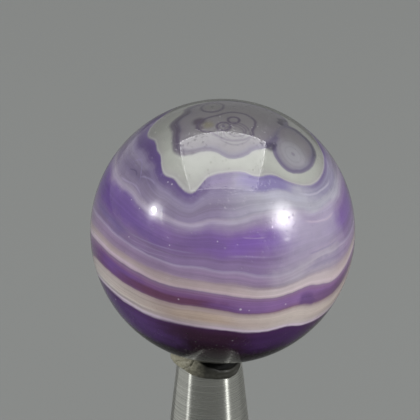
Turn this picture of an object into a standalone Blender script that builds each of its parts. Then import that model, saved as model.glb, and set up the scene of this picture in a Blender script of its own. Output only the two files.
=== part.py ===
# A polished agate ball set up for display on a turned steel post.
# Metres, +Z up. The origin is on the floor, straight below the ball's centre.
# The post tapers towards its top, and a hand-pressed lump of putty sits on it.
# The ball lies in the putty, a little to one side of the post's axis, and lifts
# straight out of it. The putty turns on the post's flat top, about the post's axis.

from math import atan2, cos, exp, hypot, pi, sin, sqrt

import bmesh
import bpy
from mathutils import Matrix, Vector

# Ball
BALL_DIAMETER = 0.060
BALL_SUBDIVISIONS = 5

# Post
POST_HEIGHT = 0.060
POST_TOP_DIAMETER = 0.015
POST_FOOT_DIAMETER = 0.028
POST_SEGMENTS = 96
RIM_ROUNDING = 0.0004
FOOT_ROUNDING = 0.0006
ROUNDING_STEPS = 3

# Putty
PUTTY_THICKNESS = 0.0032
RIM_MARGIN = 0.0003
LIP_FLARE = 0.0007
LIP_OFFSET = 0.0009
LIP_ROUNDING = 0.0008
LIP_SAG = 0.0011
SAG_AZIMUTH = -0.25 * pi
SAG_SPREAD = 0.28 * pi
FINGER_DENT = 0.00035
PUTTY_SEGMENTS = 72
FLANK_STEPS = 6
LIP_STEPS = 4
CUP_STEPS = 6

# How the pieces stand on each other
BALL_OFFSET = 0.0030
CLEARANCE = 0.0003

SAME_PLACE = 1e-6

BALL_RADIUS = BALL_DIAMETER / 2
BALL_CENTRE = Vector((0.0, 0.0, POST_HEIGHT + PUTTY_THICKNESS + BALL_RADIUS))
POST_AXIS = Vector((-BALL_OFFSET, 0.0, 0.0))
PUTTY_FOOT_RADIUS = POST_TOP_DIAMETER / 2 - RIM_MARGIN
PUTTY_LIP_RADIUS = PUTTY_FOOT_RADIUS + LIP_FLARE


def material(name, colour, roughness, metallic=0.0):
    made = bpy.data.materials.new(name)
    made.use_nodes = True
    shader = made.node_tree.nodes["Principled BSDF"]
    shader.inputs["Base Color"].default_value = (*colour, 1.0)
    shader.inputs["Roughness"].default_value = roughness
    shader.inputs["Metallic"].default_value = metallic
    return made


def add_piece(name, bm, place, finish):
    """Makes the bmesh an object of this name, with its own origin at place."""
    mesh = bpy.data.meshes.new(name)
    bm.to_mesh(mesh)
    bm.free()
    mesh.shade_smooth()
    mesh.set_sharp_from_angle(angle=pi / 6)
    mesh.materials.append(finish)
    piece = bpy.data.objects.new(name, mesh)
    bpy.context.scene.collection.objects.link(piece)
    piece.location = place
    return piece


def rim_at(bm, height):
    """The edges that lie at one height, all the way round."""
    return [e for e in bm.edges if all(abs(v.co.z - height) < SAME_PLACE for v in e.verts)]


def round_edges(bm, edges, width):
    bmesh.ops.bevel(
        bm,
        geom=edges,
        offset=width,
        offset_type="OFFSET",
        segments=ROUNDING_STEPS,
        profile=0.5,
        affect="EDGES",
        clamp_overlap=True,
        material=-1,
    )


def make_post():
    """A solid taper, turned from bar, standing on its flat foot."""
    bm = bmesh.new()
    bmesh.ops.create_cone(
        bm,
        cap_ends=True,
        cap_tris=False,
        segments=POST_SEGMENTS,
        radius1=POST_FOOT_DIAMETER / 2,
        radius2=POST_TOP_DIAMETER / 2,
        depth=POST_HEIGHT,
        matrix=Matrix.Translation((0.0, 0.0, POST_HEIGHT / 2)),
    )
    round_edges(bm, rim_at(bm, POST_HEIGHT), RIM_ROUNDING)
    round_edges(bm, rim_at(bm, 0.0), FOOT_ROUNDING)
    steel = material("turned_steel", (0.42, 0.42, 0.40), 0.30, metallic=1.0)
    return add_piece("tapered_post", bm, POST_AXIS, steel)


def ball_underside(x, y):
    """Height of the ball's lower half above a point of the floor."""
    return BALL_CENTRE.z - sqrt(BALL_RADIUS**2 - x**2 - y**2)


def putty_profile():
    """Half the lump's section, from the middle of its foot, up its flank and over its lip,
    to the middle of its cup, as (radius, share of its height)."""
    lip_share = LIP_ROUNDING / PUTTY_THICKNESS
    profile = [(0.0, 0.0), (PUTTY_FOOT_RADIUS / 2, 0.0)]
    for step in range(FLANK_STEPS + 1):
        rise = step / FLANK_STEPS
        radius = PUTTY_FOOT_RADIUS + LIP_FLARE * sin(0.5 * pi * rise)
        profile.append((radius, rise * (1.0 - lip_share)))
    for step in range(1, LIP_STEPS + 1):
        turn = 0.5 * pi * step / LIP_STEPS
        radius = PUTTY_LIP_RADIUS - LIP_ROUNDING * (1.0 - cos(turn))
        profile.append((radius, 1.0 - lip_share * (1.0 - sin(turn))))
    cup_radius = PUTTY_LIP_RADIUS - LIP_ROUNDING
    for step in range(1, CUP_STEPS + 1):
        profile.append((cup_radius * (1.0 - step / CUP_STEPS), 1.0))
    return profile


def finger_dents(azimuth):
    """Fingers pressed the lump out of round by this much."""
    return FINGER_DENT * (cos(2 * azimuth + 0.6) + 0.6 * cos(3 * azimuth - 1.1))


def lip_sag(azimuth, reach):
    """The lip sags away from the ball on one side, more the nearer it is to the outside."""
    away = (azimuth - SAG_AZIMUTH + pi) % (2 * pi) - pi
    return LIP_SAG * exp(-((away / SAG_SPREAD) ** 2)) * reach**2


def press_putty(v):
    """Moves one point of the round lump to where the fingers and the ball leave it."""
    azimuth = atan2(v.co.y, v.co.x)
    radius = hypot(v.co.x, v.co.y)
    reach = radius / PUTTY_LIP_RADIUS
    level = v.co.z
    dented = radius + finger_dents(azimuth) * reach
    v.co.x = dented * cos(azimuth) - LIP_OFFSET * level
    v.co.y = dented * sin(azimuth)
    foot = POST_HEIGHT + CLEARANCE
    cup = ball_underside(v.co.x + POST_AXIS.x, v.co.y + POST_AXIS.y) - CLEARANCE
    cup -= lip_sag(azimuth, reach)
    v.co.z = foot + level * (cup - foot)


def make_putty():
    """A pressed lump, flat on the post, and following the ball's surface on top."""
    bm = bmesh.new()
    points = [bm.verts.new((radius, 0.0, level)) for radius, level in putty_profile()]
    edges = [bm.edges.new(pair) for pair in zip(points, points[1:])]
    bmesh.ops.spin(
        bm,
        geom=points + edges,
        cent=(0.0, 0.0, 0.0),
        axis=(0.0, 0.0, 1.0),
        angle=2 * pi,
        steps=PUTTY_SEGMENTS,
        use_merge=True,
        use_duplicate=False,
    )
    bmesh.ops.remove_doubles(bm, verts=bm.verts, dist=SAME_PLACE)
    bmesh.ops.recalc_face_normals(bm, faces=bm.faces)
    for v in bm.verts:
        press_putty(v)
    putty = material("mounting_putty", (0.26, 0.25, 0.19), 0.75)
    return add_piece("putty_seat", bm, POST_AXIS, putty)


def make_ball():
    """A solid, polished ball of banded stone."""
    bm = bmesh.new()
    bmesh.ops.create_icosphere(bm, subdivisions=BALL_SUBDIVISIONS, radius=BALL_RADIUS)
    agate = material("banded_agate", (0.27, 0.16, 0.40), 0.08)
    return add_piece("agate_sphere", bm, BALL_CENTRE, agate)


for old in list(bpy.data.objects):
    bpy.data.objects.remove(old)

make_post()
make_putty()
make_ball()
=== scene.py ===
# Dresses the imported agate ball, its putty seat and its turned post, lights them softly,
# and sets the camera at the photograph's angle. Metres, +Z up, the ball's axis at x = 0.
from math import cos, exp, pi, radians, sin, sqrt

import bmesh
import bpy
from mathutils import Matrix, Vector, noise


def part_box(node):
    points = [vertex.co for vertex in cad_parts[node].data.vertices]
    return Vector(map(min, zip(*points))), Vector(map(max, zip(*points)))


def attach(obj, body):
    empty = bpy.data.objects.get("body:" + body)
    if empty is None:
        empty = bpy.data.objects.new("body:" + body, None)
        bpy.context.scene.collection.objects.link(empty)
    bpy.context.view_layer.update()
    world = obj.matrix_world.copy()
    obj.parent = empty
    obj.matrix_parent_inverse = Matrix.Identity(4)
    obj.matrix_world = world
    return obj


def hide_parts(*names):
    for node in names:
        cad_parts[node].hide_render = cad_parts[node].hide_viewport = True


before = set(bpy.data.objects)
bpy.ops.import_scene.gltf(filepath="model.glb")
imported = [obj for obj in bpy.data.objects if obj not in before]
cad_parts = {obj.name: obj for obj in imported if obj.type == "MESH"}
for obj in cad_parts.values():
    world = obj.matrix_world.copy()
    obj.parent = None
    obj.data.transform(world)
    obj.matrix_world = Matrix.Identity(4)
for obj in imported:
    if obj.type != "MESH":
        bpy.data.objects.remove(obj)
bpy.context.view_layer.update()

ball_low, ball_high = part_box("agate_sphere")
post_low, post_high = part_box("tapered_post")

BALL_RADIUS = (ball_high.z - ball_low.z) / 2
BALL_CENTRE = (ball_low + ball_high) / 2
POST_HEIGHT = post_high.z
POST_AXIS = Vector(((post_low.x + post_high.x) / 2, 0.0, 0.0))
POST_FOOT_RADIUS = (post_high.x - post_low.x) / 2

# Camera: the ball's centre as seen in a picture 420 pixels wide
PICTURE_WIDTH = 420
CAMERA_ELEVATION = radians(25.0)
CAMERA_DISTANCE = 0.60
BALL_IN_PICTURE = (222.7, 231.2)
BALL_RADIUS_IN_PICTURE = 132.6
SENSOR_WIDTH = 36.0

# Lamps, as seen from the ball: azimuth 0 is the camera's side and + is to its right
LEFT_LAMP = (-71.5, 25.2)
RIGHT_LAMP = (60.3, 24.2)
RIGHT_TAIL = (57.0, 9.0)
LAMP_DISTANCE = 1.2
LEFT_LAMP_RADIUS = 0.034
RIGHT_LAMP_RADIUS = 0.045
LEFT_LAMP_POWER = 25.0
RIGHT_LAMP_POWER = 36.0
GLOW_DISTANCE = 1.35
LEFT_GLOW_WIDTH = 0.52
RIGHT_GLOW_WIDTH = 1.00
TAIL_GLOW_WIDTH = 0.30
LEFT_GLOW = 23.0
RIGHT_GLOW = 27.0
TAIL_GLOW = 9.0
GLOW_FALL = 2.5
PANEL_WIDTH = 0.60
PANEL_HEIGHT = 0.55
PANEL_FRONT = 2.0
PANEL_BACK = 4.0
PANEL_RIM = 0.022
PANEL_RIM_GAIN = 2.7
PANEL_FILL = 0.15

# Floor: its tones as seen, as mirrored in the polish, and for the light that it throws back
FLOOR_HALF_WIDTH = 6.0
FLOOR_TONE = (0.340, 0.350, 0.342, 1.0)
# Painted light: the floor as seen is lighter further back
FLOOR_FAR = (0.40, 0.41, 0.402, 1.0)
# Painted shade: the floor as mirrored in the polish is darker than as seen, lighter behind, darkest under the
# ball
FLOOR_IN_POLISH = (0.135, 0.137, 0.135, 1.0)
FLOOR_BEHIND_IN_POLISH = (0.28, 0.285, 0.28, 1.0)
PAINTED_SHADOW_UNDER_BALL = (0.03, 0.03, 0.03, 1.0)
FLOOR_BOUNCE = (0.42, 0.425, 0.42, 1.0)
# Where those tones pass into each other: metres out from under the ball, and metres behind it
SHADED_REACH = 0.02
OPEN_REACH = 0.09
BEHIND_FROM = 0.04
BEHIND_TO = 0.16
FAR_FROM = 0.05
FAR_TO = 0.45

# Surround: how strong it looks from each side, and how strongly it fills the shadows
SURROUND_COLOUR = (1.0, 1.01, 1.0, 1.0)
SURROUND_FRONT = 0.20
SURROUND_SIDE = 0.45
SURROUND_BACK = 0.36
FILL_LOW = 0.84
FILL_HIGH = 0.18
FILL_BEHIND = 0.45

# Pieces, in metres
BALL_SUBDIVISIONS = 7
POST_TOP_RADIUS = 0.0075
POST_ROUNDING = 0.0004
POST_ROUNDING_STEPS = 4
POST_SEGMENTS = 256
POST_RINGS = 40
PUTTY_SEGMENTS = 360
PUTTY_RINGS = 120
BALL_TO_CUP = 0.00003
SAME_PLACE = 1e-7
MILLIMETRE = 0.001


# Geometry helpers

def direction(azimuth, elevation):
    """Unit vector from degrees: azimuth 0 towards the camera's side and + to its right."""
    a, e = radians(azimuth), radians(elevation)
    return Vector((sin(a) * cos(e), -cos(a) * cos(e), sin(e)))


def add_piece(name, bm, finish, body, node):
    """Makes the bmesh a finished piece that stands for a CAD node and rides on its body."""
    mesh = bpy.data.meshes.new(name)
    bm.to_mesh(mesh)
    bm.free()
    mesh.shade_smooth()
    mesh.materials.append(finish)
    piece = bpy.data.objects.new(name, mesh)
    bpy.context.scene.collection.objects.link(piece)
    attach(piece, body)
    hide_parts(node)
    return piece


# Node trees

def tone(code):
    """Linear colour from a six-figure sRGB code."""
    parts = [int(code[i:i + 2], 16) / 255 for i in (0, 2, 4)]
    linear = [p / 12.92 if p <= 0.04045 else ((p + 0.055) / 1.055) ** 2.4 for p in parts]
    return (*linear, 1.0)


class Nodes:
    """A node tree under way, with short calls for the kinds of node used here."""

    def __init__(self, tree):
        self.tree = tree

    def feed(self, socket, value):
        if isinstance(value, bpy.types.NodeSocket):
            self.tree.links.new(value, socket)
        elif value is not None:
            socket.default_value = value

    def add(self, kind, *values, **settings):
        made = self.tree.nodes.new(kind)
        for name, value in settings.items():
            setattr(made, name, value)
        for socket, value in zip(made.inputs, values):
            self.feed(socket, value)
        return made

    def number(self, operation, a, b=None, c=None):
        return self.add("ShaderNodeMath", a, b, c, operation=operation).outputs[0]

    def times(self, product, *others):
        for other in others:
            product = self.number("MULTIPLY", product, other)
        return product

    def vector(self, operation, a, b=None):
        made = self.add("ShaderNodeVectorMath", a, b, operation=operation)
        return made.outputs["Value" if operation in ("LENGTH", "DOT_PRODUCT", "DISTANCE") else "Vector"]

    def split(self, a):
        return self.add("ShaderNodeSeparateXYZ", a).outputs

    def join(self, x, y, z):
        return self.add("ShaderNodeCombineXYZ", x, y, z).outputs[0]

    def azimuth(self, x, y):
        """Radians round the upright axis: 0 towards the camera's side and + to its right."""
        return self.number("ARCTAN2", x, self.times(y, -1.0))

    def turn_share(self, angle):
        """0 to 1 for an angle from -pi to pi."""
        return self.number("MULTIPLY_ADD", angle, 1 / (2 * pi), 0.5)

    def place(self, centre=(0.0, 0.0, 0.0)):
        """Object coordinates, counted from the centre given."""
        where = self.add("ShaderNodeTexCoord").outputs["Object"]
        made = self.add("ShaderNodeMapping", where, [-part for part in centre])
        return made.outputs[0]

    def grain(self, where, scale, detail=2.0, roughness=0.5, colour=False):
        made = self.add("ShaderNodeTexNoise")
        self.feed(made.inputs["Vector"], where)
        self.feed(made.inputs["Scale"], scale)
        self.feed(made.inputs["Detail"], detail)
        self.feed(made.inputs["Roughness"], roughness)
        return made.outputs["Color" if colour else "Fac"]

    def drift(self, where, scale, detail, roughness):
        """Noise of its own in each direction, to both sides of 0."""
        grain = self.grain(where, scale, detail, roughness, colour=True)
        return self.vector("SUBTRACT", grain, (0.5, 0.5, 0.5))

    def between(self, value, low, high, to_low=0.0, to_high=1.0, smooth=True):
        """From to_low at low to to_high at high, eased or straight in between."""
        made = self.add("ShaderNodeMapRange", value, low, high, to_low, to_high, clamp=True)
        made.interpolation_type = "SMOOTHSTEP" if smooth else "LINEAR"
        return made.outputs["Result"]

    def near(self, value, centre, reach, full=0.0):
        """1 as far as full to either side of the centre, fading to 0 at reach."""
        return self.between(self.number("ABSOLUTE", self.number("SUBTRACT", value, centre)), reach, full)

    def spot(self, where, centre, reach, strength, core=0.0):
        """The strength as far from the centre as the core's share of the reach, fading to 0 at reach."""
        return self.between(self.vector("DISTANCE", where, centre), reach, core * reach, 0.0, strength)

    def layers(self, value, stops):
        """Colours laid by value: stops are (value, sRGB code), lowest first."""
        low, high = stops[0][0], stops[-1][0]
        ramp = self.add("ShaderNodeValToRGB", self.between(value, low, high, smooth=False))
        elements = ramp.color_ramp.elements
        for index, (at, code) in enumerate(stops):
            share = (at - low) / (high - low)
            element = elements[index] if index < 2 else elements.new(share)
            element.position = share
        for element, (at, code) in zip(elements, stops):
            element.color = tone(code)
        return ramp.outputs["Color"]

    def curve(self, share, points, low, high):
        """A value that goes smoothly through the points, (place, value), as the share goes from 0 at
        the first place to 1 at the last. Values lie between low and high."""
        made = self.add("ShaderNodeFloatCurve")
        self.feed(made.inputs["Value"], share)
        drawn = made.mapping.curves[0]
        first, last = points[0][0], points[-1][0]
        for index, (place, value) in enumerate(points):
            spot = ((place - first) / (last - first), (value - low) / (high - low))
            if index in (0, len(points) - 1):
                drawn.points[0 if index == 0 else -1].location = spot
            else:
                drawn.points.new(*spot)
        made.mapping.update()
        return self.number("MULTIPLY_ADD", made.outputs[0], high - low, low)

    def blend(self, factor, a, b, kind="MIX"):
        made = self.add("ShaderNodeMix", data_type="RGBA", blend_type=kind)
        self.feed(made.inputs["Factor"], factor)
        self.feed(made.inputs[6], a)
        self.feed(made.inputs[7], b)
        return made.outputs[2]

    def bump(self, height, distance):
        made = self.add("ShaderNodeBump", 1.0, distance)
        self.feed(made.inputs["Height"], height)
        return made.outputs["Normal"]

    def seen_directly(self):
        """1 for the camera and for mirror and glass rays, 0 for the light that falls on things."""
        rays = self.add("ShaderNodeLightPath").outputs
        mirrored = self.number("MAXIMUM", rays["Is Glossy Ray"], rays["Is Transmission Ray"])
        return self.number("MAXIMUM", rays["Is Camera Ray"], mirrored)


class Finish(Nodes):
    """A material under way."""

    def __init__(self, name):
        self.material = bpy.data.materials.new(name)
        self.material.use_nodes = True
        super().__init__(self.material.node_tree)
        self.shader = self.tree.nodes["Principled BSDF"]

    def wear(self, **values):
        """Feeds the shader's own sockets, named with _ for a space."""
        for name, value in values.items():
            self.feed(self.shader.inputs[name.replace("_", " ")], value)


# The stone's layer lines, in degrees of azimuth and latitude on the ball, lowest first

CREAM_FLOOR = [
    (-180, -12.0), (-150, -13.0), (-120, -15.0), (-95, -16.0), (-80, -15.5), (-68, -13.9), (-55, -14.9),
    (-45, -16.1), (-37, -17.5), (-22, -18.6), (-10, -19.4), (0, -20.4), (10, -22.4), (20, -23.6),
    (31, -23.2), (38, -25.1), (45, -26.7), (57, -27.2), (70, -25.5), (95, -19.0), (120, -15.0),
    (150, -12.5), (180, -12.0),
]
PLUM_FLOOR = [
    (-180, -1.0), (-150, -2.5), (-120, -5.5), (-95, -7.5), (-83, -6.8), (-70, -3.2), (-60, -3.4),
    (-45, -5.3), (-30, -7.3), (-20, -8.1), (-10, -8.2), (0, -9.5), (8, -11.4), (20, -12.8), (35, -12.2),
    (42, -14.0), (50, -15.0), (60, -14.4), (70, -10.3), (80, -5.4), (95, -3.0), (120, -1.5), (150, 0.0),
    (180, -1.0),
]
PLUM_TOP = [
    (-180, 7.0), (-150, 5.5), (-120, 3.4), (-95, 2.6), (-80, 3.8), (-68, 5.3), (-55, 4.5), (-40, 2.75),
    (-25, 0.5), (-12, -0.3), (0, -1.7), (10, -3.8), (20, -5.2), (30, -4.7), (39, -3.8), (45, -5.2),
    (55, -7.2), (65, -5.3), (75, -1.6), (95, 2.5), (120, 5.0), (150, 8.0), (180, 7.0),
]
THIN_VEIN = [
    (-180, 17.0), (-150, 16.0), (-120, 14.5), (-95, 13.0), (-80, 14.2), (-68, 15.3), (-55, 14.3),
    (-45, 13.2), (-35, 11.7), (-27, 10.4), (-20, 9.7), (-10, 9.8), (0, 8.2), (6, 8.1), (14, 5.6),
    (20, 4.7), (27, 4.7), (36, 6.2), (45, 7.8), (57, 7.3), (70, 7.2), (95, 11.0), (120, 15.5),
    (150, 17.5), (180, 17.0),
]
PALE_VEIN = [
    (-180, 31.0), (-150, 33.5), (-120, 36.5), (-90, 37.0), (-75, 35.4), (-60, 34.8), (-53, 34.2),
    (-44, 31.7), (-30, 29.0), (-16, 27.0), (-5, 29.0), (5, 28.5), (16, 30.6), (27, 30.6), (38, 28.9),
    (47, 26.2), (57, 25.9), (69, 26.9), (80, 29.6), (95, 31.0), (120, 32.0), (150, 31.0), (180, 31.0),
]
WHITE_EDGE = [
    (-180, 55.0), (-150, 58.5), (-125, 63.5), (-109, 62.5), (-97, 59.2), (-88, 56.8), (-79, 55.6),
    (-66, 56.8), (-55, 54.3), (-49, 53.0), (-44, 49.4), (-37, 45.8), (-31, 45.2), (-25, 42.5),
    (-17.5, 40.4), (-13, 44.8), (-9, 48.3), (0, 50.4), (12, 50.6), (20, 47.8), (31, 46.9), (40, 41.9),
    (50, 37.6), (59, 36.9), (70, 38.3), (82, 41.2), (95, 45.5), (120, 52.0), (150, 56.0), (180, 55.0),
]
LAYER_LINES = (CREAM_FLOOR, PLUM_FLOOR, PLUM_TOP, THIN_VEIN, PALE_VEIN, WHITE_EDGE)

# The crown's two ring lines, as (degrees of turn, radius) about a centre. The crown is laid out in degrees
# of arc from the ball's top: u to the right and v towards the camera's side.
MAIN_RING_CENTRE = (2.0, 9.0)
MAIN_RING = [
    (-180, 23.0), (-174, 23.3), (-163, 21.8), (-151, 20.0), (-140, 22.0), (-128, 21.6), (-116, 20.8),
    (-93, 20.6), (-78, 21.6), (-63, 21.8), (-46, 25.5), (-37, 27.8), (-30, 28.6), (-16, 27.0), (0, 24.0),
    (16, 22.4), (30, 22.0), (40, 21.9), (47, 21.3), (58, 20.6), (67, 21.8), (78, 22.9), (85, 23.2),
    (95, 21.9), (105, 20.4), (116, 20.6), (130, 24.5), (141, 26.8), (153, 25.4), (162, 23.9), (171, 22.6),
    (180, 23.0),
]
EYE_RING_CENTRE = (32.5, 16.0)
EYE_RING = [
    (-180, 9.6), (-150, 11.5), (-115, 13.8), (-90, 14.2), (-73, 13.4), (-57, 13.4), (-40, 12.4),
    (-22, 11.1), (-2, 10.1), (21, 9.9), (41, 10.4), (60, 11.6), (80, 13.8), (96, 15.3), (108, 15.5),
    (122, 14.6), (137, 13.3), (158, 11.0), (180, 9.6),
]
# The rounded cluster of small rings inside the main ring
CLUSTER_CENTRE = (2.5, 13.0)
CLUSTER = [
    (-180, 13.6), (-165, 12.6), (-155, 11.2), (-140, 9.6), (-123, 8.4), (-105, 8.9), (-87, 9.8),
    (-68, 10.6), (-51, 11.6), (-36, 12.0), (-24, 12.3), (-10, 11.4), (11, 10.5), (27, 11.4), (50, 11.0),
    (90, 10.0), (130, 9.0), (146, 9.2), (158, 11.0), (170, 13.2), (180, 13.6),
]

# Colours by layer: 0 the cream's floor, 1 the plum's floor, 2 its top, 3 thin vein, 4 pale vein, 5 white edge
LOWER_LAYERS = [
    (-3.0, "120f13"), (-1.4, "190f18"), (-0.9, "1e1120"), (-0.6, "2c132f"), (-0.3, "3f2346"),
    (-0.1, "46244e"), (-0.03, "4a2a54"), (0.01, "b4a2b6"), (0.05, "d3bfd0"), (0.12, "c6b6c0"),
    (0.2, "c8b9bb"), (0.3, "bdaaa8"), (0.4, "c1aca7"), (0.6, "ccb9b2"), (0.75, "bba8a4"),
    (0.88, "aa989a"), (0.97, "9a838c"), (1.02, "775973"), (1.1, "745770"), (1.25, "775177"),
    (1.4, "785282"), (1.6, "7c5886"), (1.8, "8a698e"), (1.94, "8c7494"), (1.98, "968698"),
]
UPPER_LAYERS = [
    (1.98, "968698"), (2.02, "c0aab8"), (2.08, "c6b2b9"), (2.18, "beacad"), (2.3, "ac9c9e"),
    (2.4, "a4939a"), (2.52, "93809a"), (2.7, "8c7897"), (2.84, "937e9e"), (2.93, "9786a4"),
    (2.97, "a193b0"), (3.01, "9586a6"), (3.04, "816e93"), (3.15, "826e94"), (3.3, "79628f"),
    (3.5, "765e8c"), (3.65, "7b6292"), (3.76, "8a749e"), (3.86, "8b7a9c"), (3.95, "9c90aa"),
    (4.0, "a69cb2"), (4.05, "9a8ea4"), (4.12, "877b98"), (4.3, "80748f"), (4.45, "8c829c"),
    (4.6, "877d9a"), (4.75, "807394"), (4.88, "796a92"), (4.95, "7c6e96"), (5.0, "8c8098"),
]
WHITE_LAYERS = [
    (0.0, "a8a4aa"), (0.05, "b2b1b0"), (0.12, "a5a4a2"), (0.3, "a9aaa4"), (0.55, "aeb0a9"),
    (0.8, "b1b3ac"), (0.94, "acacaa"), (1.0, "9c98a4"),
]
CROWN_LAYERS = [
    (-24.0, "8d898d"), (-14.0, "8b878b"), (-7.0, "8a868c"), (-3.0, "86808a"), (-1.4, "7a7486"),
    (0.0, "685e7a"),
]
CROWN_RING_GREY = "5c5068"
RIM_VIOLET = "5c4680"
RING_VIOLET = "574b62"
RING_LAVENDER = "6d657f"
RING_DARK = "4c4560"
CUSP_VIOLET = "3c3250"
SPECK_AND_GLINT_WHITE = "d8d0dc"

# Below the lowest line, so many degrees count as one layer
LAYER_BELOW = 25.0
# By layer, where the lower colours meet the upper ones and where the lavender body comes in
COLOUR_SEAM = (1.97, 1.99)
INTO_BODY = (2.1, 2.6)

# Fine layers within the bands: how often they change along a band and across it
BROAD_LAYERS = (0.9, 4.5)
FINE_LAYERS = (0.7, 17.0)
HAIR_LAYERS = (0.5, 46.0)
# How far the broad ones push the colours about, in layers, and in degrees in the crown
BROAD_IN_LOWER = 0.10
BROAD_IN_UPPER = 0.16
BROAD_IN_PATCHES = 0.25
BROAD_IN_CROWN = 3.0

# Wandering outlines: how fine they are, and how far they wander as a share of the ball's radius
RIPPLE_SCALE = 7.0
RIPPLE_REACH = (0.02, 0.02, 0.016)
DRIFT_SCALE = 3.2
DRIFT_REACH = (0.42, 0.42, 0.0)
DRIFT_IN_LAYERS = (0.10, 0.55)

# How much the fine layers, the cream's hair lines and the clouds lighten or darken the stone
STREAK_SHADE = (-0.09, 0.09)
BROAD_SHADE = (0.94, 1.06)
HAIR_SHADE = (-0.16, 0.14)
CLOUD_SHADE = (0.95, 1.05)
CLOUD_SCALE = 6.0
# What is left of the streaks where they are calm, and of the stone's tone under the painted shade at the
# crown's back
CALM_SHARE = 0.45
BACK_SHARE = 0.45
# Azimuths, as (centre, reach): where the streaks are calm, and where no violet rim shows
CALM_STREAKS = (48.0, 34.0)
NO_RIM = (20.0, 50.0)
RIM_STRENGTH = 0.6

# A patch fades at its sides over this share of its half width, inwards and outwards
PATCH_FADE = 0.75
# Cloudy patches: azimuth, half width, lowest and highest layer, softness, colour, strength
PATCHES = [
    (-64, 28, 3.36, 3.86, 0.12, "634690", 0.80),
    (-67, 12, 3.10, 3.30, 0.10, "66588e", 0.60),
    (12, 20, 3.36, 3.84, 0.14, "785a9e", 0.75),
    (16, 9, 3.48, 3.70, 0.12, "7354a0", 0.60),
    (-10, 9, 3.45, 3.70, 0.12, "6a5486", 0.55),
    (66, 14, 3.30, 3.75, 0.20, "765a9c", 0.70),
    (128, 26, 3.30, 3.90, 0.20, "664a98", 0.70),
    (-126, 24, 3.25, 3.85, 0.20, "6a50a0", 0.60),
    # The next patch is partly paler stone and partly painted light, for the glare haze round the right lamp's
    # highlight
    (44, 15, 3.12, 3.95, 0.20, "a69fb2", 0.75),
    (43, 16, 2.42, 3.12, 0.15, "ada6b2", 0.80),
    (54, 11, 2.60, 2.85, 0.08, "6f6290", 0.35),
    (170, 24, 3.20, 4.20, 0.30, "9a90ae", 0.60),
    # The next two patches are partly paler stone and partly painted light, for the glare haze round the right
    # lamp's highlight
    (46, 30, 4.06, 4.95, 0.12, "b2b2bc", 0.70),
    (35, 7, 4.30, 4.60, 0.12, "b0aec0", 0.50),
    (68, 12, 4.36, 4.95, 0.12, "787090", 0.70),
    (-52, 24, 4.10, 4.50, 0.15, "7b6f8b", 0.60),
    (-62, 13, 4.24, 4.44, 0.10, "5e5078", 0.50),
    (-45, 6, 4.35, 4.62, 0.12, "64567e", 0.60),
    (-78, 40, 4.68, 5.10, 0.14, "4c3270", 0.90),
    (-42, 8, 4.70, 5.10, 0.12, "56437a", 0.80),
    (-24, 8, 4.70, 5.10, 0.12, "64547e", 0.70),
    (26, 12, 4.62, 5.05, 0.12, "7365a0", 0.75),
    (150, 40, 4.70, 5.10, 0.15, "5a4a80", 0.70),
    (-70, 14, 1.00, 1.80, 0.15, "633c76", 0.70),
    (-50, 10, 1.05, 1.75, 0.20, "6e5092", 0.70),
    (-24, 20, 1.05, 1.50, 0.12, "643e57", 0.85),
    (6, 10, 1.05, 1.40, 0.15, "674484", 0.70),
    (26, 20, 1.10, 1.80, 0.18, "8e6ea4", 0.70),
    (39, 3.0, 0.95, 1.60, 0.20, "5c4278", 0.65),
    (58, 14, 1.05, 1.55, 0.15, "664c6e", 0.65),
    (34, 20, 2.00, 2.40, 0.10, "cdc1c6", 0.65),
    (-58, 20, 2.00, 2.20, 0.06, "bbaac2", 0.50),
    (-6, 20, -0.90, -0.30, 0.25, "2a121c", 0.60),
    (-54, 22, -0.80, -0.04, 0.20, "5c3c7c", 0.80),
    (30, 16, -0.70, -0.04, 0.20, "4a2c62", 0.70),
    (-10, 10, 0.30, 0.75, 0.12, "bca488", 0.45),
    (-56, 18, 0.06, 0.90, 0.12, "c8c2bf", 0.60),
    (-28, 18, 0.05, 0.95, 0.08, "ab9b95", 0.40),
    (24, 16, 0.10, 0.85, 0.10, "d2c6c0", 0.40),
    (-16, 17, 2.04, 2.50, 0.06, "a49397", 0.45),
    (-12, 16, -0.35, -0.06, 0.10, "3a1f2d", 0.60),
    (40, 16, 0.20, 0.85, 0.15, "cac3bc", 0.40),
    (-54, 24, 0.00, 0.12, 0.04, "d8cadc", 0.70),
    (-58, 20, 0.16, 0.24, 0.04, "9a8c98", 0.55),
    (-58, 22, 0.28, 0.40, 0.05, "d6d2cc", 0.50),
    (22, 18, 0.00, 0.12, 0.04, "dccede", 0.70),
]

# The latitudes that a short vein may reach, and the share of it that fades at each end
VEIN_LATITUDES = (-30, 60)
VEIN_END = 0.2
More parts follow.
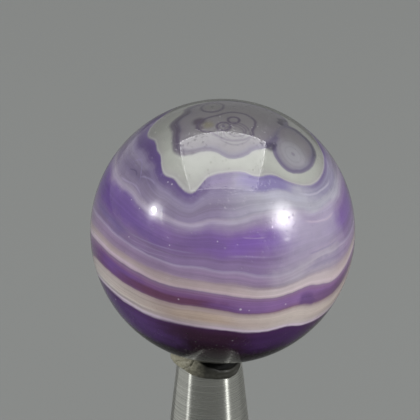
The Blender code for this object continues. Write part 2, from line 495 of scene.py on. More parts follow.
# Short veins: (azimuth, latitude) along each, half width in degrees, colour, strength
VEINS = [
    (((39, 24.7), (44.5, 23.0), (50, 21.7), (55.5, 21.1), (61, 22.0)), 0.8, "b0a2b4", 0.8),
    (((40, 26.7), (47, 25.6), (55.5, 24.7), (64, 25.0)), 0.6, "a8a0ba", 0.6),
    (((41, 37.0), (49, 33.6), (59, 32.8), (67, 33.0), (72, 34.4)), 0.8, "b4b0c2", 0.7),
    (((0, 14.9), (10, 14.4), (20, 13.1), (32, 13.5)), 0.7, "9c8cb0", 0.4),
    (((38, 10.3), (50, 10.0), (60, 10.4)), 0.7, "7c7094", 0.35),
    (((8, 22.8), (12, 22.0), (20, 21.7)), 0.5, "a08cb0", 0.5),
    (((-50, 13.9), (-36, 12.9), (-22, 12.2)), 0.4, "9485a4", 0.6),
    (((-50, 15.6), (-34, 14.6), (-18, 13.4)), 0.4, "8f80a0", 0.5),
    (((-50, 18.0), (-30, 16.4), (-10, 15.6)), 0.5, "9082a4", 0.5),
    (((-70, 35.4), (-60, 36.5), (-52, 36.4), (-44, 33.0)), 0.7, "9c90b0", 0.8),
    (((-68, 43.6), (-61, 47.0), (-56, 44.0), (-51, 38.0)), 0.8, "8b7fa6", 0.8),
    (((-54, 40.6), (-48, 41.8), (-40, 40.3)), 0.8, "8f84a6", 0.7),
    (((-66, 40.5), (-60, 42.0), (-55, 40.0)), 0.6, "4c3e68", 0.6),
    (((-60, -10.6), (-30, -13.8), (0, -16.6)), 0.5, "c2b2aa", 0.5),
    (((0, -12.6), (20, -16.0), (45, -19.0), (62, -20.0)), 0.5, "c6bab2", 0.5),
]

# Bright specks, partly light flecks in the stone and partly painted glints of tiny pits in the polish:
# (azimuth, latitude), reach in degrees, strength
SPECKS_AND_GLINTS = [
    ((-33.3, 43.2), 0.55, 0.6), ((-30.3, 42.7), 0.6, 0.6), ((-51.0, 30.8), 0.5, 0.5),
    ((-44.0, 28.9), 0.5, 0.5), ((-45.5, 16.0), 0.5, 0.6), ((-24.0, 17.6), 0.5, 0.5),
    ((-2.6, 21.2), 0.5, 0.5), ((-19.0, -5.6), 0.6, 0.5), ((7.3, -9.3), 0.8, 0.9),
    ((11.0, -10.2), 0.5, 0.6), ((27.5, -9.9), 0.6, 0.6), ((-57.0, -18.3), 0.6, 0.6),
    ((4.5, -28.0), 0.5, 0.4), ((68.0, 58.5), 0.7, 0.5), ((57.0, 44.0), 0.7, 0.5),
]

# How softly the two ring lines run into one, in degrees
RINGS_MEET = 1.2
# Half their width: on the left, elsewhere, and what is added behind the eye
RING_WIDE = 3.0
RING_NARROW = 1.4
RING_MORE_BEHIND_EYE = 0.6
RING_STRENGTH = 0.85
# The cluster's own line: half its width, and its strength
CLUSTER_LINE = 1.3
CLUSTER_STRENGTH = 0.85
# Thin rings in the crown: centre, half sizes, line width, strength
CROWN_RINGS = [
    ((-4.5, -2.9), (4.8, 5.5), 1.2, 0.95),
    ((4.5, 9.7), (2.4, 2.4), 1.2, 0.95),
    ((0.3, 14.4), (3.0, 2.7), 1.1, 0.90),
    ((5.9, 16.8), (3.8, 3.8), 0.8, 0.55),
    ((4.6, 18.3), (4.4, 4.4), 0.7, 0.45),
    ((4.6, 18.3), (7.2, 7.0), 0.9, 0.55),
    ((31.7, 21.2), (4.0, 4.2), 0.8, 0.12),
    ((31.7, 20.6), (6.6, 7.2), 0.9, 0.12),
]
# The share of its reach in which a soft spot or a cusp has its full strength
SPOT_CORE = 0.3
CUSP_CORE = 0.35
# Soft spots in the crown: centre, reach, colour, strength
CROWN_SPOTS = [
    ((-10.2, 9.6), 4.2, "56485c", 0.95),
    ((-10.0, 14.0), 2.8, "605264", 0.70),
    ((-6.3, 12.9), 3.4, "8a8468", 0.65),
    ((31.7, 21.2), 10.5, "a4a3ab", 0.80),
    ((31.7, 21.2), 1.5, "7c7288", 0.60),
    ((-4.5, -2.9), 4.4, "808078", 0.50),
    ((-4.5, -2.9), 1.2, "56505c", 0.80),
    ((0.3, 14.4), 1.2, "5c5070", 0.70),
]
# Dark cusps between the two ring lines: centre, reach, strength
CUSPS = [
    ((20.8, 22.6), 3.4, 0.85),
    ((22.4, 20.6), 2.0, 0.60),
    ((25.2, 2.4), 2.4, 0.90),
    ((25.4, -0.6), 2.6, 0.85),
    ((27.2, -2.8), 2.0, 0.80),
]

# Pits in the polish: cells to a metre, depth in metres, rarity
TINY_PITS = (2500.0, 0.00008, 6.0)
LARGE_PITS = (1500.0, 0.0002, 14.0)
STONE_IOR = 1.54


def agate_finish():
    f = Finish("polished_banded_agate")
    outward = f.vector("NORMALIZE", f.place(BALL_CENTRE))
    ripple = f.vector("MULTIPLY", f.drift(outward, RIPPLE_SCALE, 3.0, 0.6), RIPPLE_REACH)
    x, y, z = f.split(f.vector("NORMALIZE", f.vector("ADD", outward, ripple)))
    azimuth = f.azimuth(x, y)
    turned = f.number("DEGREES", azimuth)
    latitude = f.number("DEGREES", f.number("ARCSINE", z))

    # The level counts the layer lines below a spot, with the share of its layer that it lies up in
    share = f.turn_share(azimuth)
    lines = [f.curve(share, points, -90, 90) for points in LAYER_LINES]
    below = f.number("DIVIDE", f.number("SUBTRACT", latitude, lines[0]), LAYER_BELOW)
    level = f.number("MINIMUM", below, 0.0)
    for low, high in zip(lines, lines[1:]):
        level = f.number("ADD", level, f.between(latitude, low, high, smooth=False))
    over_edge = f.number("SUBTRACT", latitude, lines[-1])

    def layered(along, across):
        """Fine layers that follow the bands."""
        stretched = f.vector("MULTIPLY", f.join(x, y, level), (along, along, across))
        return f.number("SUBTRACT", f.grain(stretched, 1.0, 4.0, 0.6), 0.5)

    broad = layered(*BROAD_LAYERS)
    fine = layered(*FINE_LAYERS)
    hair = layered(*HAIR_LAYERS)
    in_body = f.between(level, *INTO_BODY)
    lower = f.layers(f.number("MULTIPLY_ADD", broad, BROAD_IN_LOWER, level), LOWER_LAYERS)
    upper = f.layers(f.number("MULTIPLY_ADD", f.times(broad, in_body), BROAD_IN_UPPER, level), UPPER_LAYERS)
    colour = f.blend(f.between(level, *COLOUR_SEAM), lower, upper)

    # Patches with wandering edges
    push = f.drift(outward, DRIFT_SCALE, 4.0, 0.62)
    pushed = f.vector("ADD", outward, f.vector("MULTIPLY", push, DRIFT_REACH))
    around = f.vector("NORMALIZE", f.vector("MULTIPLY", pushed, (1.0, 1.0, 0.0)))
    wander = f.times(f.split(push)[2], f.between(level, *INTO_BODY, *DRIFT_IN_LAYERS))
    wander = f.number("ADD", level, f.number("MULTIPLY_ADD", broad, BROAD_IN_PATCHES, wander))
    for centre, half, low, high, soft, code, strength in PATCHES:
        facing = f.vector("DOT_PRODUCT", around, direction(centre, 0))
        edge = cos(radians(half * (1.0 + PATCH_FADE)))
        core = cos(radians(half * (1.0 - PATCH_FADE)))
        sector = f.between(facing, edge, core, 0.0, strength)
        over = f.between(wander, low - soft, low + soft)
        under = f.between(wander, high + soft, high - soft)
        colour = f.blend(f.times(over, under, sector), colour, tone(code))

    def vein(points, reach):
        """1 on the line through the points, fading to its sides and its ends."""
        share = f.between(turned, points[0][0], points[-1][0], smooth=False)
        line = f.curve(share, points, *VEIN_LATITUDES)
        ends = f.times(f.between(share, 0.0, VEIN_END), f.between(share, 1.0, 1.0 - VEIN_END))
        return f.times(f.near(latitude, line, reach), ends)

    for points, reach, code, strength in VEINS:
        colour = f.blend(f.times(vein(points, reach), strength), colour, tone(code))
    # Specks, partly painted glints of tiny pits in the polish
    for place, reach, strength in SPECKS_AND_GLINTS:
        speck_and_glint = f.spot(outward, direction(*place), radians(reach), strength)
        colour = f.blend(speck_and_glint, colour, tone(SPECK_AND_GLINT_WHITE))

    # A violet rim under the white stone's edge, all round but for the front
    rim = f.times(f.between(over_edge, -2.8, -0.8), f.between(over_edge, 0.6, -0.6, 0.0, RIM_STRENGTH))
    rim = f.times(rim, f.between(f.near(turned, *NO_RIM), 0.5, 0.0))
    colour = f.blend(rim, colour, tone(RIM_VIOLET))

    # White stone between its edge and the crown's ring lines
    polar = f.number("SUBTRACT", 90.0, latitude)
    u = f.times(polar, f.number("SINE", azimuth))
    v = f.times(polar, f.number("COSINE", azimuth))
    flat = f.join(u, v, 0.0)

    def outside_of(centre, points):
        """How many degrees a spot lies outside a closed line round the centre."""
        apart = f.vector("SUBTRACT", flat, (*centre, 0.0))
        across, towards, upward = f.split(apart)
        line = f.curve(f.turn_share(f.number("ARCTAN2", towards, across)), points, 0, 40)
        return f.number("SUBTRACT", f.vector("LENGTH", apart), line)

    main_ring = outside_of(MAIN_RING_CENTRE, MAIN_RING)
    eye_ring = outside_of(EYE_RING_CENTRE, EYE_RING)
    ring_gap = f.number("SMOOTH_MIN", main_ring, eye_ring, RINGS_MEET)
    outside = f.number("MAXIMUM", ring_gap, 0.0)
    white_share = f.number("DIVIDE", outside, f.number("ADD", outside, f.number("MAXIMUM", over_edge, 0.01)))
    white = f.layers(f.number("SUBTRACT", 1.0, white_share), WHITE_LAYERS)
    colour = f.blend(f.between(over_edge, -0.7, 0.6), colour, white)

    # The crown, with its soft spots, small rings and cluster
    crown = f.layers(f.number("MULTIPLY_ADD", broad, BROAD_IN_CROWN, ring_gap), CROWN_LAYERS)
    for centre, reach, code, strength in CROWN_SPOTS:
        crown = f.blend(f.spot(flat, (*centre, 0.0), reach, strength, SPOT_CORE), crown, tone(code))
    cluster = outside_of(CLUSTER_CENTRE, CLUSTER)
    traced = f.times(f.near(cluster, 0.0, CLUSTER_LINE), CLUSTER_STRENGTH)
    for centre, half, width, strength in CROWN_RINGS:
        apart = f.vector("DIVIDE", f.vector("SUBTRACT", flat, (*centre, 0.0)), (*half, 1.0))
        off_line = f.times(f.number("SUBTRACT", f.vector("LENGTH", apart), 1.0), sum(half) / 2)
        traced = f.number("MAXIMUM", traced, f.times(f.near(off_line, 0.0, width), strength))
    crown = f.blend(traced, crown, tone(CROWN_RING_GREY))
    colour = f.blend(f.between(ring_gap, 0.3, -0.3), colour, crown)

    # The two ring lines, thick on the left, dark behind the eye and with dark cusps between them
    behind_eye = f.times(f.between(u, 27.0, 33.0), f.between(v, 20.0, 9.0))
    width = f.between(u, -17.0, -2.0, RING_WIDE, RING_NARROW)
    width = f.number("MULTIPLY_ADD", behind_eye, RING_MORE_BEHIND_EYE, width)
    off_line = f.number("DIVIDE", f.number("ABSOLUTE", ring_gap), width)
    ring_line = f.between(off_line, 1.0, 0.3, 0.0, RING_STRENGTH)
    ring_tone = f.blend(f.between(u, -14.0, 2.0), tone(RING_VIOLET), tone(RING_LAVENDER))
    ring_tone = f.blend(behind_eye, ring_tone, tone(RING_DARK))
    colour = f.blend(ring_line, colour, ring_tone)
    for centre, reach, strength in CUSPS:
        cusp = f.spot(flat, (*centre, 0.0), reach, strength, CUSP_CORE)
        colour = f.blend(cusp, colour, tone(CUSP_VIOLET))

    # Streaks along the fine layers all over, milder on the right, and hair lines in the cream
    calm = f.between(f.near(turned, *CALM_STREAKS), 0.0, 1.0, 1.0, CALM_SHARE)
    streaks = f.times(f.between(fine, -0.22, 0.22, *STREAK_SHADE), calm)
    in_cream = f.times(f.between(level, -0.05, 0.05), f.between(level, 1.05, 0.92))
    lined = f.times(in_cream, f.between(turned, -15.0, -50.0, 0.35, 1.0))
    hair_lines = f.times(f.between(hair, -0.2, 0.2, *HAIR_SHADE), lined)
    shade = f.number("ADD", streaks, f.between(broad, -0.25, 0.25, *BROAD_SHADE))
    shade = f.number("ADD", shade, hair_lines)

    # Clouds across the layers, and painted shade on the white stone and crown, darker towards the back of the
    # crown
    clouds = f.between(f.grain(outward, CLOUD_SCALE, 4.0, 0.6), 0.3, 0.7, *CLOUD_SHADE)
    in_white = f.between(over_edge, -1.0, 1.0)
    depth = f.between(v, 36.0, -8.0, 1.0, BACK_SHARE)
    shade = f.times(shade, clouds, f.between(in_white, 0.0, 1.0, 1.0, depth, smooth=False))
    colour = f.blend(1.0, colour, f.join(shade, shade, shade), "MULTIPLY")

    def pits(per_metre, depth, rarity):
        """How deep the pits dig in. The rarer they are, the fewer of them are deep."""
        cells = f.add("ShaderNodeTexVoronoi", feature="F1")
        f.feed(cells.inputs["Vector"], f.vector("MULTIPLY", f.place(BALL_CENTRE), [per_metre] * 3))
        f.feed(cells.inputs["Scale"], 1.0)
        chance = f.add("ShaderNodeTexWhiteNoise", cells.outputs["Position"]).outputs["Value"]
        bowl = f.between(cells.outputs["Distance"], 0.5, 0.0, 0.0, depth)
        return f.times(bowl, f.number("POWER", chance, rarity))

    dug = f.number("ADD", pits(*TINY_PITS), pits(*LARGE_PITS))
    pitted = f.bump(f.number("SUBTRACT", 0.0, dug), 1.0)
    f.wear(Base_Color=colour, Roughness=0.3, IOR=STONE_IOR, Specular_IOR_Level=0.06)
    f.wear(Coat_Weight=1.0, Coat_Roughness=0.01, Coat_IOR=STONE_IOR, Coat_Normal=pitted)
    return f.material


# The putty's colours, and how often its marks change to a metre
PUTTY_OLIVE = "827f6e"
PUTTY_PALE = "a29f8c"
PUTTY_SMEAR = "74705f"
# Painted shade for the ball's shadow on its front right, then a painted shadow for the gap under the ball
PUTTY_PAINTED_SHADE = "23231f"
PUTTY_GAP_SHADOW = "080808"
PUTTY_MOTTLES = 1800.0
PUTTY_SMEARS = 420.0
# Where its painted shade and the painted shadow in its gap begin and end: degrees round the post, metres from
# its axis and up
PAINTED_SHADE_STARTS = (-48.0, -4.0)
PAINTED_SHADE_ENDS = (150.0, 95.0)
PAINTED_SHADE_OUTSIDE = (0.0048, 0.0066)
PAINTED_SHADE_STRENGTH = 0.95
PAINTED_SHADE_IN_CUP = 0.12
PAINTED_SHADE_WANDER = 40.0
GAP_STARTS = (-45.0, -25.0)
GAP_ENDS = (120.0, 80.0)
GAP_INNER = (0.0050, 0.0064)
GAP_OUTER = (0.0081, 0.0074)
GAP_OVER = (0.0006, 0.0014)

# The steel's colours, and how often its marks change to a metre, across and up
STEEL_GREY = "b0b1ab"
STEEL_PALE = "c2c3bb"
STEEL_BRIGHT = "e0e1da"
STEEL_CUTS = (25.0, 25.0, 5200.0)
STEEL_PASSES = (60.0, 60.0, 2400.0)
# Its frosted sides, in degrees round the post: centre, reach, and how far they are fully frosted
FROSTED_LEFT = (-55.0, 20.0, 9.0)
FROSTED_RIGHT = (44.0, 26.0, 8.0)
RIGHT_SHARE = 0.35
PLAIN_METALLIC = 0.88
FROSTED_METALLIC = 0.44


def putty_finish():
    f = Finish("pressed_mounting_putty")
    where = f.place(POST_AXIS + Vector((0, 0, POST_HEIGHT)))
    mottle = f.grain(where, PUTTY_MOTTLES, 4.0, 0.6)
    smear = f.grain(where, PUTTY_SMEARS, 3.0)
    colour = f.blend(f.between(mottle, 0.35, 0.65), tone(PUTTY_OLIVE), tone(PUTTY_PALE))
    colour = f.blend(f.between(smear, 0.45, 0.7, 0.0, 0.4), colour, tone(PUTTY_SMEAR))

    # Painted shade on its front right, for the ball's shadow there, darkest as a painted shadow in the gap
    # under the ball, and faint in its cup
    x, y, z = f.split(where)
    radius = f.vector("LENGTH", f.join(x, y, 0.0))
    turned = f.number("DEGREES", f.azimuth(x, y))
    turned = f.number("MULTIPLY_ADD", f.number("SUBTRACT", smear, 0.5), PAINTED_SHADE_WANDER, turned)
    painted_shade = f.times(f.between(turned, *PAINTED_SHADE_STARTS, 0.0, PAINTED_SHADE_STRENGTH), f.between(turned, *PAINTED_SHADE_ENDS))
    painted_shade = f.times(painted_shade, f.between(radius, *PAINTED_SHADE_OUTSIDE, PAINTED_SHADE_IN_CUP, 1.0))
    colour = f.blend(painted_shade, colour, tone(PUTTY_PAINTED_SHADE))
    ring = f.times(f.between(radius, *GAP_OUTER), f.between(radius, *GAP_INNER))
    sector = f.times(f.between(turned, *GAP_STARTS), f.between(turned, *GAP_ENDS))
    gap_shadow = f.times(ring, f.between(z, *GAP_OVER), sector)
    colour = f.blend(gap_shadow, colour, tone(PUTTY_GAP_SHADOW))
    f.wear(Base_Color=colour, Roughness=f.between(smear, 0.3, 0.7, 0.42, 0.62), Specular_IOR_Level=0.4)
    f.wear(Normal=f.bump(mottle, 0.00006))
    return f.material


def steel_finish():
    f = Finish("fine_turned_steel")
    where = f.place(POST_AXIS)
    cuts = f.grain(f.vector("MULTIPLY", where, STEEL_CUTS), 1.0, 3.0, 0.6)
    passes = f.grain(f.vector("MULTIPLY", where, STEEL_PASSES), 1.0, 2.0)
    colour = f.blend(f.between(cuts, 0.3, 0.7), tone(STEEL_GREY), tone(STEEL_PALE))
    colour = f.blend(f.between(passes, 0.56, 0.74, 0.0, 0.6), colour, tone(STEEL_BRIGHT))

    # Frosted by hand sanding on two sides
    x, y, z = f.split(where)
    turned = f.number("DEGREES", f.azimuth(x, y))
    right = f.times(f.near(turned, *FROSTED_RIGHT), RIGHT_SHARE)
    frosted = f.number("ADD", f.near(turned, *FROSTED_LEFT), right)
    f.wear(Base_Color=colour, Anisotropic=1.0, Specular_IOR_Level=0.0)
    f.wear(Metallic=f.between(frosted, 0.0, 1.0, PLAIN_METALLIC, FROSTED_METALLIC))
    f.wear(Roughness=f.between(cuts, 0.3, 0.7, 0.26, 0.30), Tangent=f.join(0.0, 0.0, 1.0))
    f.wear(Normal=f.bump(f.number("ADD", cuts, passes), 0.000008))
    return f.material


# Pieces

def make_ball():
    bm = bmesh.new()
    bmesh.ops.create_icosphere(
        bm, subdivisions=BALL_SUBDIVISIONS, radius=BALL_RADIUS, matrix=Matrix.Translation(BALL_CENTRE)
    )
    return add_piece("polished_ball", bm, agate_finish(), "ball", "agate_sphere")


def make_post():
    bm = bmesh.new()
    foot, top = POST_FOOT_RADIUS, POST_TOP_RADIUS
    low, high = POST_ROUNDING, POST_HEIGHT - POST_ROUNDING
    turns = [0.5 * pi * step / POST_ROUNDING_STEPS for step in range(POST_ROUNDING_STEPS + 1)]
    heights = [low + (high - low) * step / POST_RINGS for step in range(1, POST_RINGS)]
    profile = [(0.0, 0.0)]
    profile += [(foot - POST_ROUNDING * (1 - sin(t)), POST_ROUNDING * (1 - cos(t))) for t in turns]
    profile += [(foot + (top - foot) * height / POST_HEIGHT, height) for height in heights]
    profile += [(top - POST_ROUNDING * (1 - cos(t)), high + POST_ROUNDING * sin(t)) for t in turns]
    profile += [(top - 3 * POST_ROUNDING, POST_HEIGHT), (0.0, POST_HEIGHT)]
    points = [bm.verts.new((POST_AXIS.x + radius, 0.0, height)) for radius, height in profile]
    edges = [bm.edges.new(pair) for pair in zip(points, points[1:])]
    bmesh.ops.spin(
        bm, geom=points + edges, cent=POST_AXIS, axis=(0, 0, 1), angle=2 * pi, steps=POST_SEGMENTS,
        use_merge=True, use_duplicate=False,
    )
    bmesh.ops.remove_doubles(bm, verts=bm.verts, dist=SAME_PLACE)
    bmesh.ops.recalc_face_normals(bm, faces=bm.faces)
    return add_piece("turned_post", bm, steel_finish(), "stand", "tapered_post")


# The putty's form, in degrees round the post's axis and millimetres: azimuth 0 is the camera's side

LIP_REACH = [
    (-180, 8.3), (-120, 8.7), (-75, 8.85), (-45, 8.5), (-20, 8.1), (5, 7.85), (30, 8.05), (55, 7.75),
    (80, 7.45), (110, 7.7), (150, 8.0), (180, 8.3),
]
LIP_DROP = [
    (-180, 0.6), (-120, 0.3), (-75, 0.1), (-40, 0.1), (-20, 0.7), (0, 1.9), (20, 2.7), (40, 2.75),
    (65, 2.3), (90, 1.5), (130, 0.8), (180, 0.6),
]
SKIRT_DROP = [
    (-180, 0.0), (-55, 0.0), (-30, 0.3), (0, 0.55), (22, 0.9), (35, 1.15), (47, 0.95), (62, 0.3),
    (80, 0.0), (180, 0.0),
]
# How far the flank bulges out low down, 0 to 1
BULGE = [
    (-180, 0.2), (-120, 0.7), (-80, 1.0), (-50, 0.95), (-20, 0.5), (10, 0.2), (60, 0.3), (120, 0.2),
    (180, 0.2),
]
# How far under the rim the skirt hangs where it has its full thickness
SKIRT_FULL = 0.4
# The lumpy flank: between which shares of the section, and the depth and fineness of its lumps
FLANK_FROM = 0.33
FLANK_TO = 0.68
FLANK_FADE = 0.05
LUMPS = [(0.16, 0.45), (0.07, 1.3)]
# Creases: (azimuth, height) of both ends, depth and width, measured on a flank of this radius
FLANK_RADIUS = 8.2
CREASES = [
    ((-62.0, 1.9), (-35.0, 3.6), 0.42, 0.16),
    ((-26.0, 4.0), (-32.0, 2.3), 0.48, 0.15),
    ((-84.0, 2.2), (-40.0, 3.9), 0.30, 0.16),
    ((-32.0, 2.3), (-45.0, 1.0), 0.28, 0.16),
    ((130.0, 2.6), (165.0, 2.1), 0.25, 0.18),
    ((-140.0, 3.0), (-118.0, 1.8), 0.25, 0.18),
]


def limited(value):
    """The value, kept between 0 and 1."""
    return min(max(value, 0.0), 1.0)


def beside_post(azimuth, radius, height):
    """A point of the putty, from the middle of the post's top, in millimetres."""
    a = radians(azimuth)
    return Vector((radius * sin(a), -radius * cos(a), height))


def turn_value(points, azimuth):
    """Eased value between the points of a full turn, by azimuth in degrees."""
    for (start, low), (end, high) in zip(points, points[1:]):
        if azimuth <= end:
            share = (azimuth - start) / (end - start)
            return low + (high - low) * share * share * (3 - 2 * share)
    return points[-1][1]


def ball_underside(x, y):
    """Height of the ball's lower half over the post's top, in millimetres."""
    flat = (x * x + y * y) * MILLIMETRE**2
    return (BALL_CENTRE.z - sqrt(BALL_RADIUS**2 - flat) - POST_HEIGHT) / MILLIMETRE


def through(points, share):
    """A point on the smooth curve through the points, share 0 at the first and 1 at the last."""
    place = min(share * (len(points) - 1), len(points) - 1.001)
    index = int(place)
    t = place - index
    before = points[max(index - 1, 0)]
    start, end = points[index], points[index + 1]
    after = points[min(index + 2, len(points) - 1)]
    return [
        0.5 * (2 * b + (c - a) * t + (2 * a - 5 * b + 4 * c - d) * t**2 + (3 * b - a - 3 * c + d) * t**3)
        for a, b, c, d in zip(before, start, end, after)
    ]


def putty_section(azimuth):
    """The lump's section at an azimuth, as (radius, height) in millimetres, from under its middle
    round its skirt, flank and lip to the middle of its cup."""
    rim = POST_TOP_RADIUS / MILLIMETRE
    reach = turn_value(LIP_REACH, azimuth)
    drop = turn_value(LIP_DROP, azimuth)
    skirt = turn_value(SKIRT_DROP, azimuth)
    hung = min(skirt / SKIRT_FULL, 1.0)
    foot = rim - 0.4 + 0.62 * hung + 0.12 * skirt
    bulge = turn_value(BULGE, azimuth)
    over = reach - foot
    a = radians(azimuth)

    def cup(radius, sag):
        x = POST_AXIS.x / MILLIMETRE + radius * sin(a)
        return ball_underside(x, -radius * cos(a)) - BALL_TO_CUP / MILLIMETRE - sag

    lip_top = cup(reach - 0.75, drop * 0.93)
    lip_side = cup(reach, drop) - 0.55
    return [
        # On the post's top
        (0.0, 0.03), (rim * 0.5, 0.03), (rim - 0.65, 0.03), (rim - 0.5 + 0.58 * hung, 0.03 - 0.1 * hung),
        # The skirt over its rim
        (foot - 0.1, 0.02 - skirt * 0.9), (foot + 0.08, 0.05 - skirt),
        (foot + 0.18 + 0.05 * hung, 0.35 - skirt * 0.8),
        # The flank
        (foot + over * (0.4 + 0.55 * bulge) + 0.05, (0.33 - 0.1 * bulge) * lip_side),
        (foot + over * (0.75 + 0.3 * bulge) + 0.05, (0.66 - 0.16 * bulge) * lip_side),
        # The lip, and the cup that it sags away from
        (reach, lip_side), (reach - 0.22, 0.5 * (lip_top + lip_side) + 0.12), (reach - 0.75, lip_top),
        (reach - 1.7, cup(reach - 1.7, 0.62 * drop)), (reach - 2.8, cup(reach - 2.8, 0.22 * drop)),
        (reach - 4.0, cup(reach - 4.0, 0.0)), (2.0, cup(2.0, 0.0)), (0.0, cup(0.0, 0.0)),
    ]


def crease_depth(azimuth, height):
    """How far the creases pull the flank in, in millimetres."""
    pulled = 0.0
    for (a0, h0), (a1, h1), depth, width in CREASES:
        per_degree = radians(1.0) * FLANK_RADIUS
        along = Vector(((a1 - a0) * per_degree, h1 - h0))
        spot = Vector(((azimuth - a0) * per_degree, height - h0))
        share = limited(spot.dot(along) / along.length_squared)
        apart = (spot - along * share).length
        pulled += depth * exp(-((apart / width) ** 2))
    return pulled


def make_putty():
    bm = bmesh.new()
    bmesh.ops.create_grid(bm, x_segments=PUTTY_SEGMENTS, y_segments=PUTTY_RINGS, size=0.5)
    sections = {}
    for v in bm.verts:
        azimuth = round(360.0 * v.co.x, 4)
        if azimuth not in sections:
            sections[azimuth] = putty_section(azimuth)
        share = v.co.y + 0.5
        radius, height = through(sections[azimuth], share)
        on_flank = limited((share - FLANK_FROM) / FLANK_FADE) * limited((FLANK_TO - share) / FLANK_FADE)
        where = beside_post(azimuth, radius, height)
        lumps = sum(depth * noise.noise(where * fineness) for depth, fineness in LUMPS)
        radius += on_flank * (lumps - crease_depth(azimuth, height))
        v.co = POST_AXIS + beside_post(azimuth, radius, height) * MILLIMETRE
        v.co.z += POST_HEIGHT
    bmesh.ops.remove_doubles(bm, verts=bm.verts, dist=SAME_PLACE)
    bmesh.ops.recalc_face_normals(bm, faces=bm.faces)
    return add_piece("pressed_putty", bm, putty_finish(), "seat", "putty_seat")


# The soft glows round the lamps light this collection alone
polished = bpy.data.collections.new("polished")
polished.objects.link(make_ball())
make_post()
make_putty()


# Stage, lights and camera

def make_floor():
    bm = bmesh.new()
    bmesh.ops.create_grid(bm, x_segments=1, y_segments=1, size=FLOOR_HALF_WIDTH)
    mesh = bpy.data.meshes.new("floor")
    bm.to_mesh(mesh)
    bm.free()
    f = Finish("plain_pale_floor")
    reach = f.vector("LENGTH", f.place())
    depth = f.split(f.place())[1]
    # Mirrored in the polish: painted shade, lighter behind and darkest under the ball as a painted shadow
    in_polish = f.blend(f.between(depth, BEHIND_FROM, BEHIND_TO), FLOOR_IN_POLISH, FLOOR_BEHIND_IN_POLISH)
    open_floor = f.between(reach, SHADED_REACH, OPEN_REACH, smooth=False)
    in_polish = f.blend(open_floor, PAINTED_SHADOW_UNDER_BALL, in_polish)
    # Seen directly: painted light, lighter further back
    seen = f.blend(f.between(depth, FAR_FROM, FAR_TO, smooth=False), FLOOR_TONE, FLOOR_FAR)
    plain = f.blend(f.seen_directly(), FLOOR_BOUNCE, seen)
    mirrored = f.add("ShaderNodeLightPath").outputs["Is Glossy Ray"]
    f.wear(Base_Color=f.blend(mirrored, plain, in_polish), Roughness=1.0, Specular_IOR_Level=0.0)
    mesh.materials.append(f.material)
    floor = bpy.data.objects.new("floor", mesh)
    bpy.context.scene.collection.objects.link(floor)


def glow_power(area):
    """The power at which an area lamp's strength of 1 shows as a plain white."""
    return pi * area


def make_lamp(name, azimuth, elevation, radius, power):
    lamp = bpy.data.lights.new(name, "POINT")
    lamp.energy = power
    lamp.shadow_soft_size = radius
    placed = bpy.data.objects.new(name, lamp)
    placed.location = BALL_CENTRE + direction(azimuth, elevation) * LAMP_DISTANCE
    bpy.context.scene.collection.objects.link(placed)


def make_glow(name, azimuth, elevation, width, strength, lit):
    """The soft shine round a lamp, seen only in the polish of the pieces that are lit."""
    glow = bpy.data.lights.new(name, "AREA")
    glow.shape = "DISK"
    glow.size = width
    glow.energy = glow_power(pi * width**2 / 4)
    glow.use_nodes = True
    nodes = Nodes(glow.node_tree)
    spot = nodes.add("ShaderNodeNewGeometry").outputs["Parametric"]
    off_centre = nodes.vector("DISTANCE", spot, (0.5, 0.5, 0.0))
    fall = nodes.number("POWER", nodes.between(off_centre, 0.5, 0.0, smooth=False), GLOW_FALL)
    nodes.feed(nodes.tree.nodes["Emission"].inputs["Strength"], nodes.times(fall, strength))
    placed = bpy.data.objects.new(name, glow)
    outward = direction(azimuth, elevation)
    placed.location = BALL_CENTRE + outward * GLOW_DISTANCE
    placed.rotation_euler = outward.to_track_quat("Z", "Y").to_euler()
    placed.visible_diffuse = False
    placed.light_linking.receiver_collection = lit
    bpy.context.scene.collection.objects.link(placed)


def make_panel(name, front, back):
    """A square lamp overhead, whose strength goes from one value at the front to another at the back."""
    panel = bpy.data.lights.new(name, "AREA")
    panel.shape = "SQUARE"
    panel.size = PANEL_WIDTH
    panel.energy = glow_power(PANEL_WIDTH**2)
    panel.use_nodes = True
    nodes = Nodes(panel.node_tree)
    spot = nodes.add("ShaderNodeNewGeometry").outputs["Parametric"]
    glow = nodes.between(nodes.split(spot)["Y"], 0.0, 1.0, front, back, smooth=False)
    apart = nodes.vector("ABSOLUTE", nodes.vector("SUBTRACT", spot, (0.5, 0.5, 0.0)))
    outer = nodes.number("MAXIMUM", nodes.split(apart)["X"], nodes.split(apart)["Y"])
    rim = nodes.between(outer, 0.5 - PANEL_RIM, 0.5, 1.0, PANEL_RIM_GAIN)
    nodes.feed(nodes.tree.nodes["Emission"].inputs["Strength"], nodes.times(glow, rim))
    placed = bpy.data.objects.new(name, panel)
    placed.location = BALL_CENTRE + Vector((0, 0, PANEL_HEIGHT))
    bpy.context.scene.collection.objects.link(placed)
    return placed


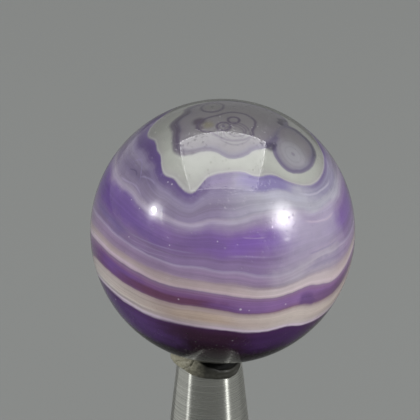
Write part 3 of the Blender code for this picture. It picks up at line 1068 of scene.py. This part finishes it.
def make_surround():
    """The pale room round the object, as it is seen and as it fills the shadows."""
    world = bpy.data.worlds.new("pale_surround")
    world.use_nodes = True
    nodes = Nodes(world.node_tree)
    across, away, high = nodes.split(nodes.add("ShaderNodeTexCoord").outputs["Generated"])
    rear = nodes.between(away, 0.0, 1.0, SURROUND_SIDE, SURROUND_BACK)
    seen = nodes.between(away, -1.0, -0.35, SURROUND_FRONT, rear)
    upward = nodes.between(high, 0.0, 1.0, FILL_LOW, FILL_HIGH, smooth=False)
    fill = nodes.times(upward, nodes.between(away, -1.0, 1.0, 1.0, FILL_BEHIND))
    strength = nodes.between(nodes.seen_directly(), 0.0, 1.0, fill, seen, smooth=False)
    background = nodes.tree.nodes["Background"]
    nodes.feed(background.inputs["Strength"], strength)
    nodes.feed(background.inputs["Color"], SURROUND_COLOUR)
    bpy.context.scene.world = world


def make_camera():
    camera = bpy.data.cameras.new("camera")
    # The lens, in pixels of the picture, that gives the ball its width there
    sine = BALL_RADIUS / CAMERA_DISTANCE
    pixels = BALL_RADIUS_IN_PICTURE * sqrt(1 - sine**2) / sine
    camera.sensor_width = SENSOR_WIDTH
    camera.lens = pixels / PICTURE_WIDTH * SENSOR_WIDTH
    camera.clip_start = 0.01
    camera.clip_end = 50.0
    placed = bpy.data.objects.new("camera", camera)
    forward = Vector((0, cos(CAMERA_ELEVATION), -sin(CAMERA_ELEVATION)))
    upward = Vector((0, sin(CAMERA_ELEVATION), cos(CAMERA_ELEVATION)))
    across = (BALL_IN_PICTURE[0] - PICTURE_WIDTH / 2) / pixels * CAMERA_DISTANCE
    above = (PICTURE_WIDTH / 2 - BALL_IN_PICTURE[1]) / pixels * CAMERA_DISTANCE
    placed.location = BALL_CENTRE - forward * CAMERA_DISTANCE - upward * above - Vector((across, 0, 0))
    placed.rotation_euler = (pi / 2 - CAMERA_ELEVATION, 0, 0)
    bpy.context.scene.collection.objects.link(placed)
    bpy.context.scene.camera = placed


make_floor()
make_lamp("left_lamp", *LEFT_LAMP, LEFT_LAMP_RADIUS, LEFT_LAMP_POWER)
make_lamp("right_lamp", *RIGHT_LAMP, RIGHT_LAMP_RADIUS, RIGHT_LAMP_POWER)
make_glow("left_glow", *LEFT_LAMP, LEFT_GLOW_WIDTH, LEFT_GLOW, polished)
make_glow("right_glow", *RIGHT_LAMP, RIGHT_GLOW_WIDTH, RIGHT_GLOW, polished)
make_glow("right_tail", *RIGHT_TAIL, TAIL_GLOW_WIDTH, TAIL_GLOW, polished)
make_panel("overhead_panel", PANEL_FRONT, PANEL_BACK).visible_diffuse = False
make_panel("overhead_fill", PANEL_FILL, PANEL_FILL).visible_glossy = False
make_surround()
make_camera()
bpy.context.scene.view_settings.view_transform = "Standard"
